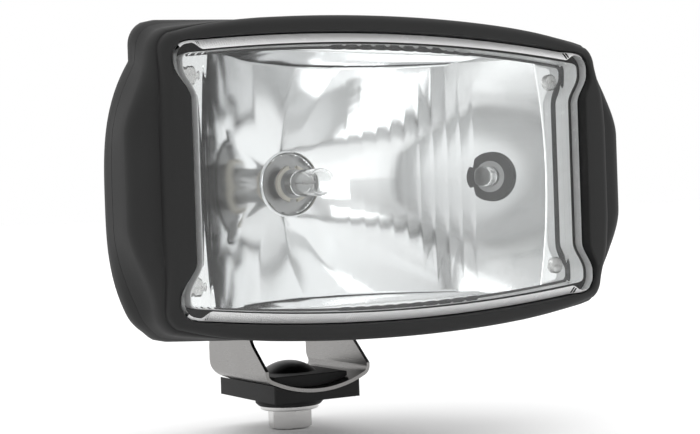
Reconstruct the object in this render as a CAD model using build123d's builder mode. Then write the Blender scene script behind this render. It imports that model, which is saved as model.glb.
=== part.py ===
"""Rectangular auxiliary lamp for a vehicle, on a U strap with one mounting bolt.

Millimetres. Origin: the mounting bolt's axis, at the underside of the pad's boss, which is
the face that sits on the vehicle. +Z is up, the lamp looks along -Y, X runs along its width.
Depths are counted backwards from the window's front plane.
"""

import os
from math import atan2, sqrt, tan

from build123d import *

# ---- where the lamp sits ----
lamp_mid = 96.0  # height of the lamp's middle above the vehicle
bolt_back = 100.6  # from the window's front plane back to the mounting bolt's axis

# ---- bezel ----
frame_half_width = 100.0
frame_half_height = 61.1
frame_drop = 6.0  # how much lower the top edge is at its ends than in the middle
frame_corner = 10.0
frame_round = 3.4
ear_stand = 10.5  # how far an ear stands out past the frame
ear_half_width = frame_half_width + ear_stand
ear_flat = 20.0  # half height of the ear's straight flank
ear_reach = 42.0  # half height at which the ear's slope ends, just inside the frame
ear_inset = 1.2  # how far inside the frame that is
ear_front = 4.3
ear_round = 5.8
ear_bend = 16.0
ear_valley = 12.0
bezel_depth = 21.5
ear_floor = 9.0  # depth at which the hollow of an ear starts
ear_hollow = (13.0, 38.0)
ear_hollow_corner = 3.0

# ---- window in the bezel, which the glass and the seals behind it follow ----
window_half_width = 93.5
window_waist = 88.4  # half width between the ears
window_half_height = 54.2
window_drop = 5.3
window_corner = 7.0
window_bend = 9.0
waist_below_top = 16.2  # from the window's top edge down to where its waist ends
waist_slope = 7.0  # height of the sloping stretch into the waist
waist_end = window_half_height - waist_below_top
waist_half_height = waist_end - waist_slope
stack_grow = 2.7  # flanges of glass, seal and reflector reach this far outside the window
stack_room = 0.5

# ---- the stack behind the window ----
glass_front = 4.0
glass = 3.2
glass_gap = 1.3
bevel = 3.0
flange_front = 13.0
glass_flange = 2.5
seal = 1.8
reflector_wall = 1.0
seal_lip = 1.5  # seal and housing reach this far inside the window's outline

# ---- reflector ----
focus = 19.5
vertex_depth = 97.0
dish_below_window = 6.2
dish_half_height = window_half_height - dish_below_window
neck_radius = 13.0
neck_back = 103.0
screw_x = 82.0
screw_z = waist_end  # level with the wide corners of the window
parking_x = 67.3
parking_hole = 8.6

# ---- rear housing ----
housing_wall = 2.5
flange_plate = 3.0
bowl_drop = 5.0
bowl_corner = 9.0
belly = -5.0  # height of the widest line
bowl_back = 118.0
post_radius = 3.6
pivot_depth = 105.0
pivot_low = 53.0  # the pivot below the lamp's middle
pivot_boss = 11.0
cable_spot = (24.0, -8.0)
cable_bore = 3.1
grommet_hole = 6.5
vent_spot = (-24.0, 6.0)
vent_hole = 2.5

# ---- screws ----
screw_core = 1.9
screw_slack = 0.05
screw_room = 0.3  # radial room where a screw passes through
ear_screw_inset = 9.5  # bezel screws, in from the ear's flank
ear_middle = ear_half_width - ear_screw_inset
bezel_screw_z = 11.0
bezel_boss = 4.6
bezel_screw_tip = 11.0
bezel_screw_head = 30.0  # depth of the face that the screw's head sits on
head_radius = 3.6
head_height = 2.4
pan_radius = 3.4
pan_height = 1.6
pan_screw_length = 10.0
cross = (4.0, 0.9)  # length and width of the driver's slots

# ---- bulbs ----
bulb_radius = 5.75
bulb_tip = 62.0
bulb_shoulder = 84.0
bulb_wall = 0.9
bulb_flange_radius = 8.0
bulb_flange_depth = 91.0
base_radius = 6.4
base_back = 107.0
filament_radius = 0.7
filament_length = 5.2
leg_radius = 0.35
leg_x = 2.2
wire = 0.6
block_spot = (-22.0, -18.5)  # terminal block, beside the bulb and below it
block_size = (24.0, 12.0, 12.0)
block_pitch = 11.0
block_hole = 1.7
lead_radius = 1.1
lead_inset = 9.5  # the lead enters the block this far in front of its seat
grommet_inner = 6.6
parking_cap_radius = 4.4

# ---- strap and saddle ----
strap_sheet = 1.5
strap_half_width = 25.3
strap_bend = 4.5
strap_front = -27.0
strap_back = 20.0
arm_back = 26.4
strap_length = 80.0
strap_low = 7.6  # height of the strap's underside in the middle
trough_radius = 52.0
strap_slot = 19.6
saddle_gap = 0.3  # between the strap and the saddle's two halves
saddle_half_width = 17.5
saddle_half_length = 20.6
saddle_top = 14.6
pad_half_width = 20.7
pad_half_length = 26.3
boss_height = 4.0
boss_radius = 14.85

# ---- bolts ----
stud_radius = 5.0
nut_flats = 17.0
nut_height = 8.0
washer_radius = 12.75
washer_sheet = 1.7
neck_flat = 0.2  # the square neck is this much narrower than the stud
neck_square = 2 * stud_radius - neck_flat
nut_turn = 15.6
dome_radius = 12.0
dome_height = 4.6
pivot_radius = 4.0
pivot_flats = 13.0
pivot_head = 5.3
pivot_nut_height = 6.8
pivot_washer = 1.6
pivot_washer_radius = 8.0
run = 0.05  # radial clearance of a running fit
slip = 0.1  # gap between flat faces that turn on each other
pivot_bore = pivot_radius + slip
lug_half_width = strap_half_width - strap_sheet - slip

pivot_y = pivot_depth - bolt_back
pivot_z = lamp_mid - pivot_low
rock_z = strap_low + trough_radius  # the saddle rocks about this height
seal_front = flange_front + glass_flange
reflector_front = seal_front + seal
reflector_back = reflector_front + reflector_wall

lamp_axis = Axis((0, 0, lamp_mid), (0, 1, 0))
side_plane = Plane(origin=(0, -bolt_back, lamp_mid), x_dir=(1, 0, 0), z_dir=(0, 0, 1))


def lamp_plane(depth, x=0.0, z=0.0):
    """Plane that faces forwards at a depth behind the window; sketches read as (x, height)."""
    return Plane(origin=(x, depth - bolt_back, lamp_mid + z), x_dir=(1, 0, 0), z_dir=(0, -1, 0))


def finish(builder, name):
    """Labels a piece and writes its file."""
    builder.part.label = name
    os.makedirs("parts", exist_ok=True)
    export_step(builder.part, f"parts/{name}.step")
    print(f"{name}: {len(builder.part.solids())} solid(s)")


# ---- outlines ----


def arched_outline(half_width, half_height, drop, corner):
    """Rectangle with gently arched top and bottom and round corners."""
    end = half_height - drop
    with BuildSketch() as outline:
        with BuildLine():
            ThreePointArc((-half_width, end), (0, half_height), (half_width, end))
            Line((half_width, end), (half_width, -end))
            ThreePointArc((half_width, -end), (0, -half_height), (-half_width, -end))
            Line((-half_width, -end), (-half_width, end))
        make_face()
        fillet(outline.vertices(), corner)
    return outline.sketch


def ear_outline():
    """Both ears in one outline, from flank to flank across the lamp."""
    root = frame_half_width - ear_inset
    with BuildSketch() as outline:
        with BuildLine():
            Polyline(
                (root, ear_reach),
                (ear_half_width, ear_flat),
                (ear_half_width, -ear_flat),
                (root, -ear_reach),
                (-root, -ear_reach),
                (-ear_half_width, -ear_flat),
                (-ear_half_width, ear_flat),
                (-root, ear_reach),
                close=True,
            )
        make_face()
        tips = [v for v in outline.vertices() if abs(v.X) > ear_half_width - 1]
        fillet(tips, ear_bend)
    return outline.sketch


def bezel_outline():
    """The frame's outline with an ear on each side, smoothed where they meet."""
    with BuildSketch() as outline:
        add(frame_outline)
        add(ears)
        valleys = [
            v
            for v in outline.vertices()
            if abs(abs(v.X) - frame_half_width) < 0.01
            and ear_flat < abs(v.Y) < ear_reach
        ]
        fillet(valleys, ear_valley)
    return outline.sketch


def window(depth, grow=0.0):
    """The window's outline at a depth, grown by a margin: wide at the corners, waisted between the ears."""
    slope = atan2(window_half_width - window_waist, waist_end - waist_half_height)
    shift = grow * tan(slope / 2)
    wide, waist = window_half_width + grow, window_waist + grow
    upper, lower = waist_end - shift, waist_half_height - shift
    top = window_half_height + grow
    with BuildSketch(lamp_plane(depth)) as outline:
        with BuildLine():
            for side in (1, -1):
                Polyline(
                    (side * wide, top - window_drop),
                    (side * wide, upper),
                    (side * waist, lower),
                    (side * waist, -lower),
                    (side * wide, -upper),
                    (side * wide, window_drop - top),
                )
                ThreePointArc(
                    (-wide, side * (top - window_drop)),
                    (0, side * top),
                    (wide, side * (top - window_drop)),
                )
        make_face()
        fillet([v for v in outline.vertices() if abs(v.Y) > upper + 0.01], window_corner + grow)
        fillet([v for v in outline.vertices() if abs(abs(v.Y) - upper) < 0.01], window_bend + grow)
        fillet([v for v in outline.vertices() if abs(abs(v.Y) - lower) < 0.01], window_bend - grow)
    return outline.sketch


frame_outline = arched_outline(frame_half_width, frame_half_height, frame_drop, frame_corner)
ears = ear_outline()
full_outline = bezel_outline()


def at_depth(outline, depth):
    """An outline placed at a depth."""
    with BuildSketch(lamp_plane(depth)) as placed:
        add(outline)
    return placed.sketch


def bowl_outline(depth, half_width, top, bottom, inset=0.0):
    """Section of the rear housing: bulging sides, fuller below its middle than above."""
    wide, high, low = half_width - inset, top - inset, bottom - inset
    upper, lower = 0.885 * wide, 0.95 * wide
    with BuildSketch(lamp_plane(depth)) as outline:
        with BuildLine():
            ThreePointArc((-upper, high - bowl_drop), (0, high), (upper, high - bowl_drop))
            ThreePointArc((-lower, bowl_drop - low), (0, -low), (lower, bowl_drop - low))
            for side in (1, -1):
                ThreePointArc(
                    (side * upper, high - bowl_drop),
                    (side * (upper + 0.68 * (wide - upper)), 0.5 * high),
                    (side * wide, belly),
                )
                ThreePointArc(
                    (side * wide, belly),
                    (side * (lower + 0.8 * (wide - lower)), -0.6 * low),
                    (side * lower, bowl_drop - low),
                )
        make_face()
        corners = [v for v in outline.vertices() if abs(v.Y - belly) > 5]
        fillet(corners, bowl_corner)
    return outline.sketch


# depth, half width, height above and below the middle
bowl_sections = [
    (bezel_depth, frame_half_width + 4.0, frame_half_height - 4.1, frame_half_height - 3.6),
    (28.0, ear_half_width - 0.5, frame_half_height - 3.6, frame_half_height - 3.1),
    (62.0, 95.0, 53.0, 54.0),
    (92.0, 76.0, 43.0, 45.0),
    (bowl_back, 48.0, 26.0, 30.0),
]


def bowl(inset):
    """The rear housing's bowl, or its hollow when inset by the wall."""
    depths = [s[0] for s in bowl_sections]
    depths[-1] -= inset
    with BuildPart() as shape:
        sections = [bowl_outline(d, *s[1:], inset) for d, s in zip(depths, bowl_sections)]
        loft(sections[:2], ruled=True)
        loft(sections[1:])
    return shape.part


# ---- bezel ----

with BuildPart() as shoulders:
    extrude(at_depth(ears, ear_front), amount=ear_front - bezel_depth)
    fillet(shoulders.faces().sort_by(Axis.Y)[0].edges(), ear_round)

with BuildPart() as front_bezel:
    extrude(at_depth(frame_outline, 0), amount=-bezel_depth)
    fillet(front_bezel.faces().sort_by(Axis.Y)[0].edges(), frame_round)
    add(shoulders.part)
    extrude(
        at_depth(full_outline, ear_front + ear_round),
        amount=ear_front + ear_round - bezel_depth,
    )
    extrude(window(0), amount=-bezel_depth, mode=Mode.SUBTRACT)
    extrude(
        window(flange_front, stack_grow + stack_room),
        amount=flange_front - bezel_depth,
        mode=Mode.SUBTRACT,
    )

ear_spots = [(side * ear_middle, z) for side in (1, -1) for z in (bezel_screw_z, -bezel_screw_z)]

with BuildPart() as ear_hollows:
    with BuildSketch(lamp_plane(ear_floor)):
        with Locations((ear_middle, 0), (-ear_middle, 0)):
            RectangleRounded(*ear_hollow, ear_hollow_corner)
        with Locations(*ear_spots):
            Circle(bezel_boss, mode=Mode.SUBTRACT)
    extrude(amount=ear_floor - bezel_depth)
    with BuildSketch(lamp_plane(bezel_screw_tip - 1)):
        with Locations(*ear_spots):
            Circle(screw_core + screw_slack)
    extrude(amount=bezel_screw_tip - 1 - bezel_depth)

with front_bezel:
    add(ear_hollows.part, mode=Mode.SUBTRACT)
finish(front_bezel, "front_bezel")

# ---- glass ----


def glass_blank(front, inset, back, cut):
    """A block of the glass's outline with its front edge bevelled."""
    with BuildPart() as blank:
        loft([window(front, -inset - cut), window(front + cut, -inset)], ruled=True)
        extrude(window(front + cut, -inset), amount=front + cut - back)
    return blank.part


with BuildPart() as lens:
    add(glass_blank(glass_front, glass_gap, flange_front + 1, bevel))
    extrude(window(flange_front + slip, stack_grow), amount=slip - glass_flange)
    add(
        glass_blank(glass_front + glass, glass_gap + glass, seal_front + 1, bevel / 2),
        mode=Mode.SUBTRACT,
    )
finish(lens, "lens")

with BuildPart() as lens_gasket:
    extrude(window(seal_front, stack_grow), amount=-seal)
    extrude(window(seal_front, -seal_lip - glass), amount=-seal, mode=Mode.SUBTRACT)
finish(lens_gasket, "lens_gasket")

# ---- reflector ----


def dish(grow, front):
    """Paraboloid grown by a margin, cut flat above and below."""
    back = vertex_depth + grow
    rim = 2 * sqrt(focus * (back - front))
    with BuildPart() as shape:
        with BuildSketch(side_plane):
            with BuildLine():
                Bezier((0, back), (rim / 2, back), (rim, front))
                Polyline((rim, front), (0, front), (0, back))
            make_face()
        revolve(axis=lamp_axis)
        with BuildSketch(lamp_plane(front - 1)):
            Rectangle(3 * rim, 2 * (dish_half_height + grow))
        extrude(amount=front - back - 2, mode=Mode.INTERSECT)
    return shape.part


def dish_point(x):
    """Place on the dish's wall at that x, and the direction that leaves it inwards."""
    depth = vertex_depth - x * x / (4 * focus)
    slope = 2 * focus / x
    length = sqrt(1 + slope * slope)
    return (x, depth - bolt_back, lamp_mid), (-1 / length, -slope / length, 0)


parking_point, parking_inward = dish_point(parking_x)
corner_spots = [(sx * screw_x, sz * screw_z) for sx in (1, -1) for sz in (1, -1)]


def parking_plane(height):
    """Plane across the parking bulb's axis, at a height above the dish's wall."""
    base = Plane(origin=parking_point, x_dir=(0, 0, 1), z_dir=parking_inward)
    return base.offset(height)


with BuildPart() as reflector:
    add(dish(reflector_wall, reflector_front))
    extrude(window(reflector_front, stack_grow), amount=-reflector_wall)
    with BuildSketch(lamp_plane(vertex_depth - 4)):
        Circle(neck_radius + 1.2)
    extrude(amount=vertex_depth - 4 - neck_back)
    add(dish(0, reflector_front), mode=Mode.SUBTRACT)
    with BuildSketch(lamp_plane(vertex_depth - 10)):
        Circle(neck_radius)
    extrude(amount=vertex_depth - 10 - neck_back, mode=Mode.SUBTRACT)
    with BuildSketch(lamp_plane(reflector_front)):
        with Locations(*corner_spots):
            Circle(screw_core + screw_room)
    extrude(amount=-reflector_wall, mode=Mode.SUBTRACT)
    with BuildSketch(parking_plane(6)):
        Circle(parking_hole)
    extrude(amount=-12, mode=Mode.SUBTRACT)
finish(reflector, "reflector")

with BuildPart() as reflector_screws:
    with BuildSketch(lamp_plane(reflector_front - pan_height)):
        with Locations(*corner_spots):
            Circle(pan_radius)
    extrude(amount=-pan_height)
    chamfer(reflector_screws.faces().group_by(Axis.Y)[0].edges(), 0.6)
    with BuildSketch(lamp_plane(reflector_front - pan_height)):
        with Locations(*corner_spots):
            SlotOverall(4.4, 0.9)
    extrude(amount=-0.8, mode=Mode.SUBTRACT)
    with BuildSketch(lamp_plane(reflector_front)):
        with Locations(*corner_spots):
            Circle(screw_core)
    extrude(amount=-pan_screw_length)
finish(reflector_screws, "reflector_screws")

# ---- main bulb ----


def turned(points):
    """Solid turned about the lamp's axis from (radius, depth) points."""
    with BuildPart() as shape:
        with BuildSketch(side_plane):
            with BuildLine():
                Polyline(*points, close=True)
            make_face()
        revolve(axis=lamp_axis)
    return shape.part


def dome(radius, tip):
    """Points of a round end: from the tip on the axis to the full radius."""
    middle = 0.7071 * radius
    return (0, tip), (middle, tip + radius - middle), (radius, tip + radius)


with BuildPart() as bulb_glass:
    with BuildSketch(side_plane):
        with BuildLine():
            outer = ThreePointArc(*dome(bulb_radius, bulb_tip))
            inner = ThreePointArc(*dome(bulb_radius - bulb_wall, bulb_tip + bulb_wall))
            Line(outer @ 0, inner @ 0)
            Polyline(
                outer @ 1,
                (bulb_radius, bulb_shoulder),
                (bulb_radius - bulb_wall, bulb_shoulder),
                inner @ 1,
            )
        make_face()
    revolve(axis=lamp_axis)
finish(bulb_glass, "bulb_glass")

filament_depth = vertex_depth - focus
with BuildPart() as bulb_filament:
    with BuildSketch(Plane.YZ.offset(-filament_length / 2)):
        with Locations((filament_depth - bolt_back, lamp_mid)):
            Circle(filament_radius)
    extrude(amount=filament_length)
    for side in (1, -1):
        with BuildSketch(lamp_plane(filament_depth, side * leg_x)):
            Circle(leg_radius)
        extrude(amount=filament_depth - bulb_shoulder)
finish(bulb_filament, "bulb_filament")

with BuildPart() as bulb_base:
    add(
        turned(
            [
                (0, bulb_shoulder),
                (4.6, bulb_shoulder),
                (4.6, bulb_flange_depth),
                (base_radius, bulb_flange_depth),
                (base_radius, base_back),
                (0, base_back),
            ]
        )
    )
finish(bulb_base, "bulb_base")

with BuildPart() as bulb_flange:
    with BuildSketch(lamp_plane(bulb_flange_depth)):
        Circle(bulb_flange_radius)
        Circle(base_radius, mode=Mode.SUBTRACT)
        with Locations((0, bulb_flange_radius), (0, -bulb_flange_radius)):
            Rectangle(4.0, 3.0, mode=Mode.SUBTRACT)
    extrude(amount=-2)
finish(bulb_flange, "bulb_flange")

with BuildPart() as bulb_seat:
    add(
        turned(
            [
                (base_radius, 97.0),
                (neck_radius, 97.0),
                (neck_radius, neck_back),
                (neck_radius + 2.6, neck_back),
                (neck_radius + 2.6, neck_back + 2),
                (base_radius, neck_back + 2),
            ]
        )
    )
finish(bulb_seat, "bulb_seat")

clip_depth = neck_back + 2 + wire
with BuildPart() as bulb_clip:
    with BuildLine(lamp_plane(clip_depth)) as clip_path:
        FilletPolyline(
            (-12, -9), (-7.2, -9), (-7.2, 10), (7.2, 10), (7.2, -9), (12, -9), radius=2.2
        )
    with BuildSketch(Plane(clip_path.line @ 0, z_dir=clip_path.line % 0)):
        Circle(wire)
    sweep(path=clip_path.line)
finish(bulb_clip, "bulb_clip")

block_back = bowl_back - housing_wall
lead_y = block_back - lead_inset - bolt_back
with BuildPart() as bulb_lead:
    with BuildLine() as lead_path:
        FilletPolyline(
            (0, base_back - bolt_back, lamp_mid),
            (0, base_back - bolt_back + 4.2, lamp_mid),
            (-14, base_back - bolt_back + 4.2, lamp_mid - 10),
            (block_spot[0], lead_y, lamp_mid + block_spot[1] + 11),
            (block_spot[0], lead_y, lamp_mid + block_spot[1] + 6),
            radius=2.4,
        )
    with BuildSketch(Plane(lead_path.line @ 0, z_dir=lead_path.line % 0)):
        Circle(lead_radius)
    sweep(path=lead_path.line)
finish(bulb_lead, "bulb_lead")

with BuildPart() as terminal_block:
    with BuildSketch(lamp_plane(block_back - block_size[2])):
        with Locations(block_spot):
            RectangleRounded(block_size[0], block_size[1], 1.5)
    extrude(amount=-block_size[2])
    with BuildSketch(lamp_plane(block_back - block_size[2])):
        with Locations(block_spot):
            with GridLocations(block_pitch, 1, 2, 1):
                Circle(block_hole)
    extrude(amount=-5, mode=Mode.SUBTRACT)
finish(terminal_block, "terminal_block")

with BuildPart() as terminal_screws:
    with BuildSketch(lamp_plane(block_back - block_size[2] + 1)):
        with Locations(block_spot):
            with GridLocations(block_pitch, 1, 2, 1):
                Circle(block_hole - screw_slack)
    extrude(amount=-4)
finish(terminal_screws, "terminal_screws")

# ---- parking bulb ----

with BuildPart() as parking_grommet:
    for height, radius, length in ((2.4, 10.3, 2.0), (0.4, parking_hole, 2.2), (-1.8, 9.9, 2.0)):
        with BuildSketch(parking_plane(height)):
            Circle(radius)
        extrude(amount=-length)
    with BuildSketch(parking_plane(2.4)):
        Circle(grommet_inner)
    extrude(amount=-6.2, mode=Mode.SUBTRACT)
finish(parking_grommet, "parking_grommet")

with BuildPart() as parking_socket:
    with BuildSketch(parking_plane(2.4)):
        Circle(grommet_inner)
        Circle(parking_cap_radius, mode=Mode.SUBTRACT)
    extrude(amount=-11)
    with BuildSketch(parking_plane(-8.6)):
        Circle(grommet_inner)
    extrude(amount=-2)
finish(parking_socket, "parking_socket")

with BuildPart() as parking_cap:
    with BuildSketch(parking_plane(4.5)):
        Circle(parking_cap_radius)
    extrude(amount=-12)
finish(parking_cap, "parking_cap")

with BuildPart() as parking_glass:
    with BuildSketch(parking_plane(4.5)):
        Circle(parking_cap_radius - 0.2)
    extrude(amount=9)
    fillet(parking_glass.faces().sort_by(Axis.X)[0].edges(), parking_cap_radius - 0.8)
finish(parking_glass, "parking_glass")

# ---- rear housing ----

hollow = bowl(housing_wall)
outside = bowl(0)

with BuildPart() as screw_columns:
    with BuildSketch(lamp_plane(bezel_depth)):
        with Locations(*corner_spots):
            Circle(post_radius)
        with Locations(*ear_spots):
            Circle(bezel_boss + 0.6)
    extrude(amount=-60)
    add(outside, mode=Mode.INTERSECT)
    with BuildSketch(lamp_plane(reflector_back + slip)):
        with Locations(*corner_spots):
            Circle(post_radius)
    extrude(amount=reflector_back - bezel_depth - 1)

with BuildPart() as rear_housing:
    add(outside)
    with BuildSketch(Plane.YZ.offset(-lug_half_width)):
        with Locations((pivot_y, pivot_z)):
            Circle(pivot_boss)
        with BuildLine():
            Polyline(
                (pivot_y - pivot_boss, pivot_z),
                (pivot_y + pivot_boss, pivot_z),
                (bowl_back - bolt_back - 2, lamp_mid - 25),
                (pivot_y - pivot_boss - 3, lamp_mid - 32),
                close=True,
            )
        make_face()
    extrude(amount=2 * lug_half_width)
    add(hollow, mode=Mode.SUBTRACT)
    extrude(at_depth(full_outline, bezel_depth), amount=-flange_plate)
    extrude(
        window(bezel_depth, -seal_lip), amount=-flange_plate, mode=Mode.SUBTRACT
    )

with rear_housing:
    # spigot that holds the seal and the reflector against the glass
    extrude(
        window(reflector_back, stack_grow), amount=reflector_back - bezel_depth
    )
    extrude(
        window(reflector_back, -seal_lip),
        amount=reflector_back - bezel_depth,
        mode=Mode.SUBTRACT,
    )
    add(screw_columns.part)
    with BuildSketch(lamp_plane(reflector_back)):
        with Locations(*corner_spots):
            Circle(screw_core + screw_slack)
    extrude(amount=-pan_screw_length - 1, mode=Mode.SUBTRACT)
    with BuildSketch(lamp_plane(bezel_depth)):
        with Locations(*ear_spots):
            Circle(screw_core + screw_room)
    extrude(amount=bezel_depth - bezel_screw_head, mode=Mode.SUBTRACT)
    with BuildSketch(lamp_plane(bezel_screw_head)):
        with Locations(*ear_spots):
            Circle(head_radius + 0.4)
    extrude(amount=-40, mode=Mode.SUBTRACT)
    with BuildSketch(Plane.YZ.offset(-lug_half_width)):
        with Locations((pivot_y, pivot_z)):
            Circle(pivot_bore)
    extrude(amount=2 * lug_half_width, mode=Mode.SUBTRACT)
    with BuildSketch(lamp_plane(bowl_back - 2 * housing_wall)):
        with Locations(cable_spot):
            Circle(grommet_hole)
        with Locations(vent_spot):
            Circle(vent_hole)
    extrude(amount=-3 * housing_wall, mode=Mode.SUBTRACT)
finish(rear_housing, "rear_housing")

with BuildPart() as bezel_screws:
    with BuildSketch(lamp_plane(bezel_screw_tip)):
        with Locations(*ear_spots):
            Circle(screw_core)
    extrude(amount=bezel_screw_tip - bezel_screw_head)
    with BuildSketch(lamp_plane(bezel_screw_head)):
        with Locations(*ear_spots):
            Circle(head_radius)
    extrude(amount=-head_height)
    chamfer(bezel_screws.faces().group_by(Axis.Y)[-1].edges(), 0.7)
    with BuildSketch(lamp_plane(bezel_screw_head + head_height - 1.2)):
        with Locations(*ear_spots):
            Rectangle(*cross)
            Rectangle(*reversed(cross))
    extrude(amount=-1.2, mode=Mode.SUBTRACT)
finish(bezel_screws, "bezel_screws")

with BuildPart() as cable_grommet:
    for depth, radius, length in (
        (bowl_back - housing_wall - 1.8, grommet_hole + 1.6, 1.8),
        (bowl_back - housing_wall, grommet_hole, housing_wall),
        (bowl_back, grommet_hole + 1.6, 2.2),
        (bowl_back + 2.2, grommet_hole - 1.6, 3.0),
    ):
        with BuildSketch(lamp_plane(depth)):
            with Locations(cable_spot):
                Circle(radius)
        extrude(amount=-length)
    with BuildSketch(lamp_plane(bowl_back - housing_wall - 1.8)):
        with Locations(cable_spot):
            Circle(cable_bore)
    extrude(amount=-20, mode=Mode.SUBTRACT)
finish(cable_grommet, "cable_grommet")

with BuildPart() as breather_cap:
    for depth, radius, length in (
        (bowl_back - housing_wall - 1.5, vent_hole + 0.8, 1.5),
        (bowl_back - housing_wall, vent_hole, housing_wall),
        (bowl_back, vent_hole + 2.0, 2.6),
    ):
        with BuildSketch(lamp_plane(depth)):
            with Locations(vent_spot):
                Circle(radius)
        extrude(amount=-length)
finish(breather_cap, "breather_cap")

# ---- pivot ----


def hexagon(plane, flats, height, turn=0.0):
    """Hexagonal prism with the corners of both ends cut back."""
    tip = flats / sqrt(3)
    with BuildPart() as prism:
        with BuildSketch(plane):
            RegularPolygon(flats / 2, 6, major_radius=False, rotation=turn)
        extrude(amount=height)
        with BuildSketch(plane):
            Circle(tip)
        extrude(amount=height, mode=Mode.INTERSECT)
    with BuildPart() as cone:
        with BuildSketch(plane):
            Circle(tip)
        extrude(amount=height)
        chamfer(cone.edges().filter_by(GeomType.CIRCLE), 0.55, 0.95)
        add(prism.part, mode=Mode.INTERSECT)
    return cone.part


def pivot_plane(x, outwards=1):
    """Plane across the tilt pivot at that x."""
    return Plane(origin=(x, pivot_y, pivot_z), x_dir=(0, outwards, 0), z_dir=(outwards, 0, 0))


arm_face = strap_half_width + slip
head_face = arm_face + pivot_washer

with BuildPart() as pivot_bolt:
    add(hexagon(pivot_plane(-head_face, -1), pivot_flats, pivot_head))
    with BuildSketch(pivot_plane(-head_face)):
        Circle(pivot_radius)
    extrude(amount=2 * head_face + pivot_nut_height + 2)
    chamfer(pivot_bolt.faces().sort_by(Axis.X)[-1].edges(), 0.8)
finish(pivot_bolt, "pivot_bolt")

with BuildPart() as pivot_washers:
    for side in (1, -1):
        with BuildSketch(pivot_plane(side * arm_face, side)):
            Circle(pivot_washer_radius)
            Circle(pivot_radius + 0.2, mode=Mode.SUBTRACT)
        extrude(amount=pivot_washer)
finish(pivot_washers, "pivot_washers")

with BuildPart() as pivot_nut:
    add(hexagon(pivot_plane(head_face), pivot_flats, pivot_nut_height))
    with BuildSketch(pivot_plane(head_face)):
        Circle(pivot_radius)
    extrude(amount=pivot_nut_height, mode=Mode.SUBTRACT)
finish(pivot_nut, "pivot_nut")

# ---- strap ----


def trough(half_width, radius, bend, top):
    """Cross-section with straight sides and a curved bottom about the rocking axis."""
    end = rock_z - sqrt(radius**2 - half_width**2)
    with BuildSketch(Plane.XZ) as section:
        with BuildLine():
            ThreePointArc((-half_width, end), (0, rock_z - radius), (half_width, end))
            Polyline((half_width, end), (half_width, top), (-half_width, top), (-half_width, end))
        make_face()
        fillet(section.vertices().group_by(Axis.Y)[0], bend)
    return section.sketch


with BuildPart() as strap:
    extrude(
        trough(strap_half_width, trough_radius, strap_bend, pivot_z + 2 * pivot_boss),
        amount=strap_length / 2,
        both=True,
    )
    extrude(
        trough(
            strap_half_width - strap_sheet,
            trough_radius - strap_sheet,
            strap_bend - strap_sheet,
            pivot_z + 3 * pivot_boss,
        ),
        amount=strap_length / 2,
        both=True,
        mode=Mode.SUBTRACT,
    )
    with BuildSketch(Plane.YZ) as side_view:
        with BuildLine():
            Polyline(
                (strap_front, 0),
                (strap_front, 18),
                (-14.5, 28.5),
                (pivot_y - pivot_boss, pivot_z),
                (pivot_y + pivot_boss, pivot_z),
                (arm_back, 28),
                (arm_back, 18),
                (strap_back, 12),
                (strap_back, 0),
                close=True,
            )
        make_face()
        fillet([v for v in side_view.vertices() if v.Y in (28.5, 28.0)], 9)
        fillet([v for v in side_view.vertices() if v.Y == 18 and v.X > 0], 5)
        with Locations((pivot_y, pivot_z)):
            Circle(pivot_boss)
    extrude(amount=strap_length, both=True, mode=Mode.INTERSECT)
    with BuildSketch(Plane.YZ):
        with Locations((pivot_y, pivot_z)):
            Circle(pivot_radius + run)
    extrude(amount=strap_length, both=True, mode=Mode.SUBTRACT)
    with BuildSketch(Plane.XY):
        SlotOverall(strap_slot, 2 * stud_radius + 0.6)
    extrude(amount=saddle_top, mode=Mode.SUBTRACT)
finish(strap, "strap")

# ---- saddle and mounting bolt ----

with BuildPart() as upper_saddle:
    with BuildSketch(Plane.XZ):
        Rectangle(2 * saddle_half_width, 2 * saddle_top)
        with Locations((0, rock_z)):
            Circle(trough_radius - strap_sheet - saddle_gap, mode=Mode.INTERSECT)
    extrude(amount=saddle_half_length, both=True)
    fillet(upper_saddle.faces().sort_by(Axis.Z)[-1].edges(), 0.5)
    with BuildSketch(Plane.XY):
        Rectangle(neck_square + 0.2, neck_square + 0.2)
    extrude(amount=saddle_top, mode=Mode.SUBTRACT)
finish(upper_saddle, "upper_saddle")

with BuildPart() as lower_pad:
    with BuildSketch(Plane.XZ):
        with Locations((0, boss_height)):
            Rectangle(2 * pad_half_width, 30, align=(Align.CENTER, Align.MIN))
        with Locations((0, rock_z)):
            Circle(trough_radius + saddle_gap, mode=Mode.SUBTRACT)
    extrude(amount=pad_half_length, both=True)
    fillet(lower_pad.edges().filter_by(Axis.Z), 1.2)
    with BuildSketch(Plane.XY):
        Circle(boss_radius)
    extrude(amount=boss_height)
    chamfer(lower_pad.faces().sort_by(Axis.Z)[0].edges(), 1.2)
    with BuildSketch(Plane.XY):
        Circle(stud_radius + 0.2)
    extrude(amount=saddle_top, mode=Mode.SUBTRACT)
finish(lower_pad, "lower_pad")

stud_low = -slip / 2 - washer_sheet - nut_height + 0.5
cap_radius = (dome_radius**2 + dome_height**2) / (2 * dome_height)
cap_middle = saddle_top + dome_height - cap_radius
neck_low = strap_low + strap_sheet + saddle_gap + 0.3

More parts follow.
